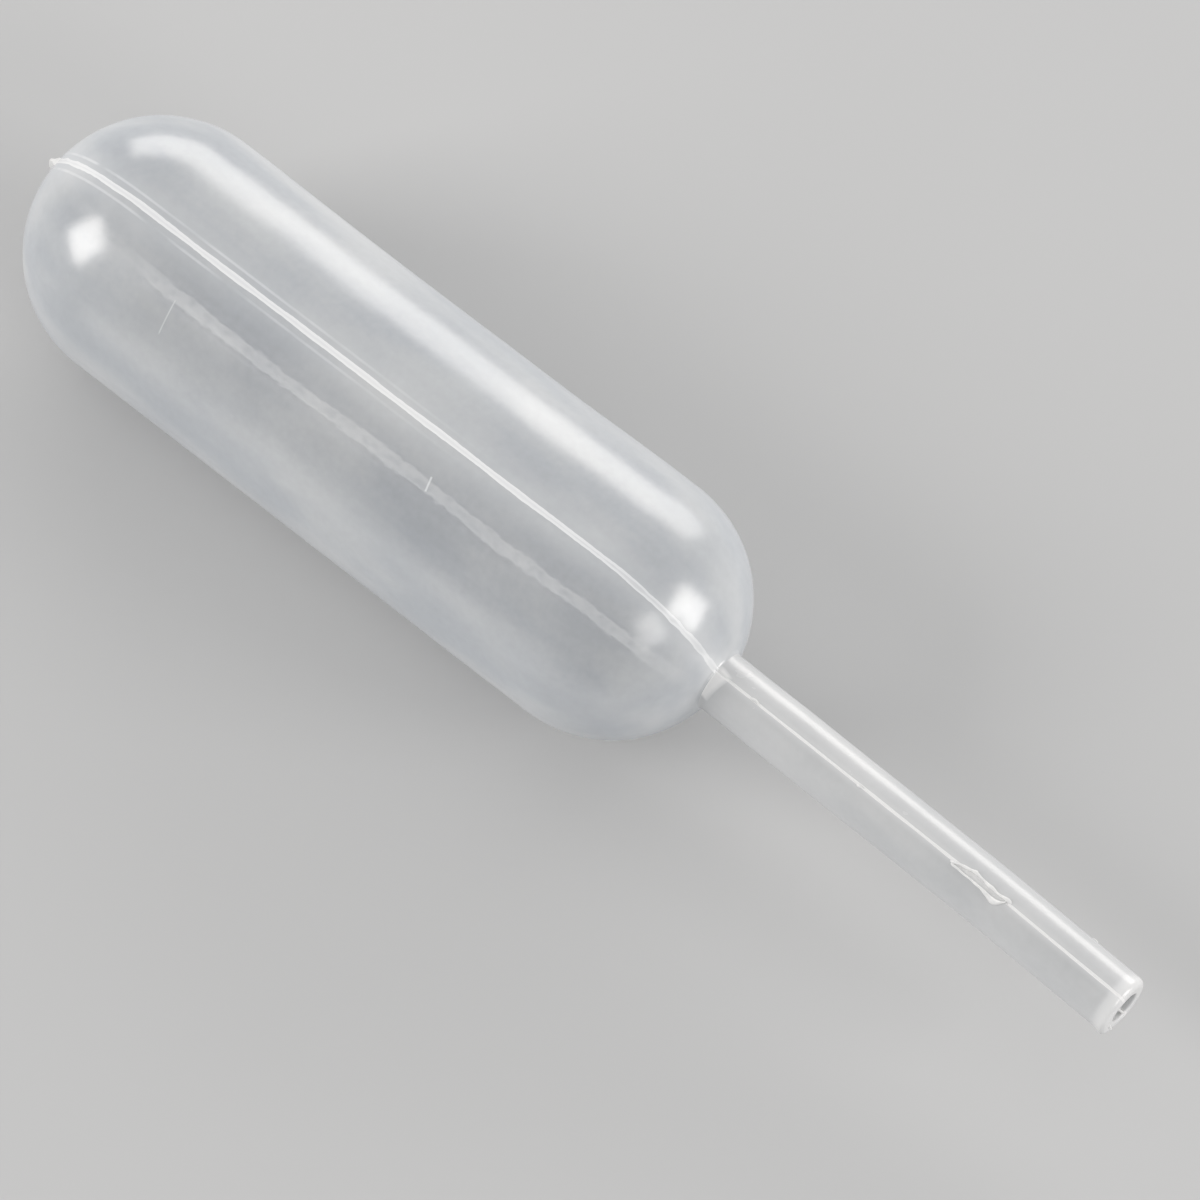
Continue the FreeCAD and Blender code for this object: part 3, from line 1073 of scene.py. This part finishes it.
@dataclass
class Strand:
    """A thread of flash, drawn by pulling a small ring from place to place, and flattened for a film."""

    name: str
    path: list[Vector]
    radii: list[float]
    corners: int = 8
    thickness: float = 1.0

    def build(self, form: Form) -> bpy.types.Object:
        """Pull the ring along its path, round it off and lay it down with the moulding.

        Args:
            form: The pipette's form, which takes the straight frame to where the pipette lies.

        Returns:
            The finished piece, in its place.
        """
        clear_selection()
        turn = (self.path[1] - self.path[0]).to_track_quat("Z", "Y").to_euler()
        bpy.ops.mesh.primitive_circle_add(
            vertices=self.corners,
            radius=self.radii[0],
            fill_type="NGON",
            location=self.path[0],
            rotation=turn,
        )
        bpy.ops.object.transform_apply(location=True, rotation=True, scale=True)
        piece = bpy.context.object
        piece.name = self.name
        switch(Mode.EDIT)
        bpy.ops.mesh.select_all(action="SELECT")
        for index in range(1, len(self.path)):
            step = self.path[index] - self.path[index - 1]
            share = self.radii[index] / self.radii[index - 1]
            bpy.ops.mesh.extrude_region_move(TRANSFORM_OT_translate={"value": step})
            bpy.ops.transform.resize(value=(share, share, share), center_override=self.path[index])
        bpy.ops.mesh.select_all(action="SELECT")
        bpy.ops.transform.resize(value=(1, 1, self.thickness), center_override=self.path[0])
        bpy.ops.mesh.normals_make_consistent(inside=False)
        form.settle(piece)
        switch(Mode.OBJECT)
        modify(piece, "SUBSURF", {"levels": 2, "render_levels": 2})
        bpy.ops.object.shade_smooth()
        return piece


@dataclass
class StemFlash:
    """The bits of flash that stand on the stem and in its mouth.

    Lift is how far their middles stand off the stem, and sink is how far they lie behind its end face.
    """

    form: Form
    lift: float = 0.02 * MM
    sink: float = 0.06 * MM
    film_thickness: float = 0.25

    def build(self) -> list[bpy.types.Object]:
        """Model every bit of flash.

        Returns:
            The finished pieces.
        """
        return [strand.build(self.form) for strand in (*self._on_stem(), *self._at_mouth())]

    def _surface(self, name: str, stations: Iterable[tuple[float, float, float]]) -> Strand:
        """A strand that lies on the stem.

        Args:
            name: The piece's name.
            stations: For each place, in millimetres, its X, its way round from the seam and its radius.

        Returns:
            The strand, still to be built.
        """
        stations = [(along * MM, aside * MM, radius * MM) for along, aside, radius in stations]
        path = [self.form.on_stem(along, aside, self.lift) for along, aside, _ in stations]
        return Strand(name, path, [radius for _, _, radius in stations])

    def _on_stem(self) -> list[Strand]:
        """List the torn flake astride the seam, two specks on the seam, and a nick on the far side.

        Returns:
            The strands, still to be built.
        """
        return [
            self._surface(
                "torn_flake_far",
                (
                    (34.15, -0.14, 0.03),
                    (34.35, -0.13, 0.07),
                    (34.65, 0.04, 0.06),
                    (35.00, 0.08, 0.09),
                    (35.22, 0.14, 0.05),
                    (35.42, 0.20, 0.13),
                    (35.60, 0.15, 0.06),
                    (36.00, 0.12, 0.06),
                    (36.25, 0.07, 0.10),
                    (36.50, 0.11, 0.11),
                    (36.75, 0.03, 0.05),
                    (37.10, 0.09, 0.07),
                    (37.40, 0.13, 0.13),
                    (37.60, 0.10, 0.04),
                ),
            ),
            self._surface(
                "torn_flake_near",
                (
                    (34.25, -0.18, 0.04),
                    (34.41, -0.23, 0.09),
                    (34.70, -0.20, 0.05),
                    (35.05, -0.25, 0.07),
                    (35.40, -0.21, 0.05),
                    (35.75, -0.25, 0.08),
                    (36.05, -0.23, 0.07),
                    (36.30, -0.28, 0.11),
                    (36.50, -0.30, 0.12),
                    (36.77, -0.36, 0.17),
                    (37.05, -0.33, 0.21),
                    (37.22, -0.17, 0.13),
                    (37.36, 0.00, 0.07),
                ),
            ),
            self._film(),
            self._surface("seam_speck_root", ((22.20, 0.03, 0.03), (22.40, 0.07, 0.08), (22.70, 0.03, 0.03))),
            self._surface("seam_speck_mid", ((28.55, -0.06, 0.03), (28.70, -0.09, 0.08), (28.92, -0.04, 0.03))),
            self._surface("far_side_nick", ((41.15, 2.00, 0.02), (41.35, 2.02, 0.07), (41.52, 2.00, 0.02))),
        ]

    def _film(self) -> Strand:
        """Lay the thin film that is left between the two edges of the torn flake.

        Returns:
            The strand, still to be built.
        """
        film = self._surface(
            FLAKE_FILM,
            (
                (34.40, -0.16, 0.06),
                (34.90, -0.07, 0.12),
                (35.50, -0.03, 0.17),
                (36.10, -0.07, 0.17),
                (36.70, -0.13, 0.20),
                (37.10, -0.12, 0.20),
                (37.40, 0.02, 0.10),
            ),
        )
        return replace(film, thickness=self.film_thickness)

    def _at_mouth(self) -> list[Strand]:
        """Lay the film of flash across the mouth, and the small tail that the cut left beside it.

        Returns:
            The strands, still to be built.
        """
        facing = Vector((0, -0.186, 0.983))
        aside = Vector((0, 0.983, 0.186))
        face = Vector((self.form.tip - self.sink, 0, 0))
        middle = face - aside * 0.20 * MM
        ends = [middle + facing * reach * MM for reach in (0.82, 0.3, -0.3, -0.82)]
        outer = face - aside * 1.02 * MM + facing * 0.16 * MM
        tail = [outer, outer + Vector((0.14, -0.06, 0.0)) * MM, outer + Vector((0.26, -0.10, -0.06)) * MM]
        return [
            Strand("mouth_film", ends, [0.14 * MM, 0.07 * MM, 0.07 * MM, 0.14 * MM]),
            Strand("tip_tail", tail, [0.09 * MM, 0.06 * MM, 0.02 * MM]),
        ]


# ---- the studio ------------------------------------------------------------------------------------


def direction(azimuth: float, elevation: float) -> Vector:
    """The unit vector towards an azimuth from +X and an elevation, in degrees."""
    around, up = math.radians(azimuth), math.radians(elevation)
    return Vector((math.cos(up) * math.cos(around), math.cos(up) * math.sin(around), math.sin(up)))


@dataclass(frozen=True)
class Softbox:
    """A lamp with a flat rectangular face, turned to the pipette."""

    name: str
    azimuth: float
    elevation: float
    distance: float
    width: float
    height: float
    radiance: float
    tint: Colour = (1.0, 0.97, 0.94)

    def hang(self, target: Vector) -> None:
        """Put the lamp up.

        Args:
            target: The place that it faces.
        """
        lamp = bpy.data.lights.new(self.name, "AREA")
        lamp.shape = "RECTANGLE"
        lamp.size = self.width
        lamp.size_y = self.height
        lamp.energy = self.radiance * math.pi * self.width * self.height
        lamp.color = self.tint
        holder = bpy.data.objects.new(self.name, lamp)
        bpy.context.scene.collection.objects.link(holder)
        way = direction(self.azimuth, self.elevation)
        holder.location = target + way * self.distance
        holder.rotation_euler = way.to_track_quat("Z", "Y").to_euler()


@dataclass
class Studio:
    """The pale floor, the soft light and the camera."""

    target: Vector
    view_azimuth: float = -51.5
    view_elevation: float = 64.6
    view_roll: float = 1.74
    view_distance: float = 420.4 * MM
    lens: float = 270.0
    sensor: float = 36.0
    floor_radius: float = 0.60
    floor_gap: float = 0.03 * MM
    sky_strength: float = 0.54
    backdrop_strength: float = 0.64
    lamps: tuple[Softbox, ...] = field(
        default_factory=lambda: (
            Softbox("side_softbox", 112, 16, 1.20, 1.68, 0.60, 3.1),
            Softbox("rear_window", -138, 27, 1.00, 0.46, 0.56, 6.5),
            Softbox("front_window", 24, 20, 1.00, 0.40, 0.54, 5.0),
            Softbox("front_door", -15, 31, 1.00, 0.36, 0.44, 3.0),
        )
    )

    def set_up(self) -> None:
        """Build the floor, the world, the lamps and the camera."""
        self._lay_floor()
        self._fill_world()
        for lamp in self.lamps:
            lamp.hang(self.target)
        self._place_camera()
        bpy.context.scene.view_settings.view_transform = "Standard"

    def _lay_floor(self) -> None:
        """A wide pale disc under the pipette, whose rim fades into the backdrop."""
        clear_selection()
        place = (0, 0, -self.floor_gap)
        bpy.ops.mesh.primitive_circle_add(
            vertices=96, radius=self.floor_radius, fill_type="NGON", location=place
        )
        bpy.ops.object.transform_apply(location=True)
        floor = bpy.context.object
        floor.name = "floor"
        floor.data.materials.append(PaleFloor(fade_end=0.97 * self.floor_radius).make())
        floor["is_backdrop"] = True

    def _fill_world(self) -> None:
        """An even white sky, which shows as a pale backdrop where it is seen or mirrored."""
        bench = NodeBench(bpy.data.worlds.new("even_sky"))
        path = bench.node("ShaderNodeLightPath")
        kinds = ("Is Camera Ray", "Is Glossy Ray", "Is Transmission Ray")
        camera, mirror, glass = (Signal(bench, path.outputs[kind]) for kind in kinds)
        seen = camera.at_least(mirror).at_least(glass)
        strength = self.sky_strength + seen * (self.backdrop_strength - self.sky_strength)
        sockets = {"Color": (1.0, 1.0, 1.0, 1.0), "Strength": strength}
        bpy.context.scene.world = bench.surface(bench.node("ShaderNodeBackground", {}, sockets))

    def _place_camera(self) -> None:
        """A long lens that looks down on the pipette from its near side."""
        way = direction(self.view_azimuth, self.view_elevation)
        camera = bpy.data.cameras.new("camera")
        camera.lens = self.lens
        camera.sensor_width = self.sensor
        camera.clip_start = 0.01
        holder = bpy.data.objects.new("camera", camera)
        bpy.context.scene.collection.objects.link(holder)
        level = way.to_track_quat("Z", "Y").to_matrix()
        roll = Matrix.Rotation(math.radians(self.view_roll), 3, "Z")
        place = Matrix.Translation(self.target + way * self.view_distance)
        holder.matrix_world = place @ (level @ roll).to_4x4()
        bpy.context.scene.camera = holder


# ---- putting it together ---------------------------------------------------------------------------


def moulding_finishes(form: Form) -> dict[Zone, bpy.types.Material]:
    """Make the finishes of the moulding.

    Args:
        form: The pipette's form, which the haze and the weld follow.

    Returns:
        The finish of each zone.
    """
    scuffs = (
        Mark(
            start=Vector((-6.607, -2.775, 12.334)) * MM,
            end=Vector((-6.443, -3.459, 11.96)) * MM,
            width=0.07 * MM,
            strength=0.35,
        ),
        Mark(
            start=Vector((-21.55, -3.396, 11.999)) * MM,
            end=Vector((-21.403, -4.875, 10.756)) * MM,
            width=0.05 * MM,
            strength=0.18,
        ),
    )
    # A painted highlight: a pale patch at the stem's root that stands in for a lamp's reflection in the throat.
    painted_throat_highlight = Mark(
        start=Vector((8.25, -1.40, 7.15)) * MM,
        end=Vector((8.70, 0.05, 8.00)) * MM,
        width=0.45 * MM,
        strength=0.9,
    )
    # The white of the weld on the bulb and the stem is partly a painted highlight of the ridge.
    bulb = MilkyPlastic(
        form=form,
        name="milky_polyethylene",
        colour=(0.65, 0.67, 0.69),
        shade=(0.54, 0.57, 0.61),
        haze=0.45,
        root_haze=0.58,
        mottle=0.11,
        weld_and_highlight_colour=(0.92, 0.925, 0.93),
        weld_and_highlight_haze=0.62,
        weld_width=0.17 * MM,
        weld_edge=0.35,
        front_fade=0.45,
        fringe=0.48 * MM,
        fringe_haze=0.20,
        glow_width=1.6 * MM,
        glow_haze=0.14,
        roughness=0.22,
        ior=1.7,
        marks=scuffs,
    )
    cavity = MilkyPlastic(
        form=form,
        name="milky_polyethylene_inside",
        colour=(0.60, 0.63, 0.67),
        shade=(0.50, 0.54, 0.59),
        haze=0.14,
        root_haze=0.25,
        mottle=0.14,
        weld_and_highlight_colour=(0.97, 0.96, 0.94),
        weld_and_highlight_haze=1.0,
        weld_width=0.36 * MM,
        weld_edge=0.2,
        ragged=1.2,
        scaly=1.4,
        patchy=0.45,
        fringe=0.6 * MM,
        fringe_haze=0.2,
        glow_width=1.2 * MM,
        glow_haze=0.08,
        roughness=0.24,
        ior=2.2,
    )
    stem = MilkyPlastic(
        form=form,
        name="milky_polyethylene_stem",
        colour=(0.63, 0.64, 0.65),
        shade=(0.565, 0.58, 0.595),
        haze=0.80,
        root_haze=0.80,
        mottle=0.10,
        weld_and_highlight_colour=(0.90, 0.90, 0.90),
        weld_and_highlight_haze=0.7,
        weld_width=0.08 * MM,
        weld_edge=0.0,
        fringe=0.3 * MM,
        fringe_haze=0.0,
        glow_width=0.4 * MM,
        glow_haze=0.08,
        roughness=0.24,
        ior=1.5,
        tip_white=0.45,
        marks=(painted_throat_highlight,),
    )
    return {Zone.BULB: bulb.make(), Zone.CAVITY: cavity.make(), Zone.STEM: stem.make()}


def corners(box: tuple[Vector, Vector]) -> list[list[float]]:
    """A box's two corners as plain lists of numbers."""
    return [list(corner) for corner in box]


def main() -> None:
    """Load the frame, model and dress each piece, and set up the studio."""
    logging.basicConfig(level=logging.INFO, format="%(name)s: %(message)s")
    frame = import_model()
    cad_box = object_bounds()
    form = Form.from_record(frame["record"])
    moulding = Moulding(form)
    shell = moulding.build()
    moulding.dress(shell, moulding_finishes(form))
    flash = [PinchOffFin(form).build(), *StemFlash(form).build()]
    thick_flash = TornFlash().make()
    thin_flash = TornFlash(name="thin_flash", haze=0.4).make()
    for piece in flash:
        piece.data.materials.append(thin_flash if piece.name == FLAKE_FILM else thick_flash)
    for piece in (shell, *flash):
        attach(piece, "root")
        log.info("%s: %d faces", piece.name, len(piece.data.polygons))
    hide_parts(NODE)
    middle = (cad_box[0] + cad_box[1]) / 2
    Studio(target=Vector((middle.x, middle.y, 0)) + AIM).set_up()


if __name__ == "__main__":
    main()
